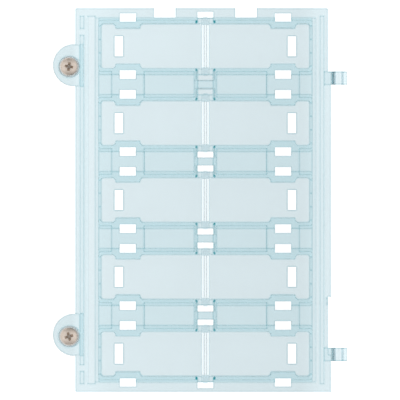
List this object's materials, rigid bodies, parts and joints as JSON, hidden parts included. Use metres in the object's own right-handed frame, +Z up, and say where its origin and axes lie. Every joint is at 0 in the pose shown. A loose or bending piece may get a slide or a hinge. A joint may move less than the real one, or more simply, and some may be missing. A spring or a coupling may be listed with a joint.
{
  "type": "parts sorting tray",
  "caption": "Clear moulded parts tray: rows of bays split by lift-out dividers, captive screws in ears on one side and hinge hooks on the other.",
  "frame": {"origin": "middle of the overall box, on the face the tray rests on", "axes": "+Z up out of the bays, +Y along the column of rows, +X from the screw ears to the hinge hooks"},
  "size_m": [0.1168, 0.1526, 0.0128],
  "materials": {
    "clear_aqua": "clear gloss with a pale aqua tint",
    "clear_divider": "clear gloss, almost colourless",
    "nickel_steel": "warm nickel plate",
    "natural_nylon": "translucent natural nylon"
  },
  "bodies": {
    "tray": {"tray": "clear_aqua"},
    "divider_1": {"divider_1": "clear_divider"},
    "divider_2": {"divider_2": "clear_divider"},
    "divider_3": {"divider_3": "clear_divider"},
    "divider_4": {"divider_4": "clear_divider"},
    "divider_5": {"divider_5": "clear_divider"},
    "captive_upper": {"washer_upper": "natural_nylon", "retaining_ring_upper": "natural_nylon"},
    "screw_upper": {"screw_upper": "nickel_steel"},
    "captive_lower": {"washer_lower": "natural_nylon", "retaining_ring_lower": "natural_nylon"},
    "screw_lower": {"screw_lower": "nickel_steel"}
  },
  "joints": [
    {"name": "divider_1_lift", "type": "slide", "parent": "tray", "child": "divider_1", "axis": [0, 0, 1], "range_m": [0, 0.014]},
    {"name": "divider_2_lift", "type": "slide", "parent": "tray", "child": "divider_2", "axis": [0, 0, 1], "range_m": [0, 0.014]},
    {"name": "divider_3_lift", "type": "slide", "parent": "tray", "child": "divider_3", "axis": [0, 0, 1], "range_m": [0, 0.014]},
    {"name": "divider_4_lift", "type": "slide", "parent": "tray", "child": "divider_4", "axis": [0, 0, 1], "range_m": [0, 0.014]},
    {"name": "divider_5_lift", "type": "slide", "parent": "tray", "child": "divider_5", "axis": [0, 0, 1], "range_m": [0, 0.014]},
    {"name": "screw_upper_play", "type": "slide", "parent": "tray", "child": "captive_upper", "axis": [0, 0, 1], "range_m": [0, 0.0023]},
    {"name": "screw_upper_turn", "type": "hinge", "parent": "captive_upper", "child": "screw_upper", "pos_m": [-0.052, 0.05285, 0.0102], "axis": [0, 0, 1], "continuous": true},
    {"name": "screw_lower_play", "type": "slide", "parent": "tray", "child": "captive_lower", "axis": [0, 0, 1], "range_m": [0, 0.0023]},
    {"name": "screw_lower_turn", "type": "hinge", "parent": "captive_lower", "child": "screw_lower", "pos_m": [-0.052, -0.05405, 0.0102], "axis": [0, 0, 1], "continuous": true}
  ]
}
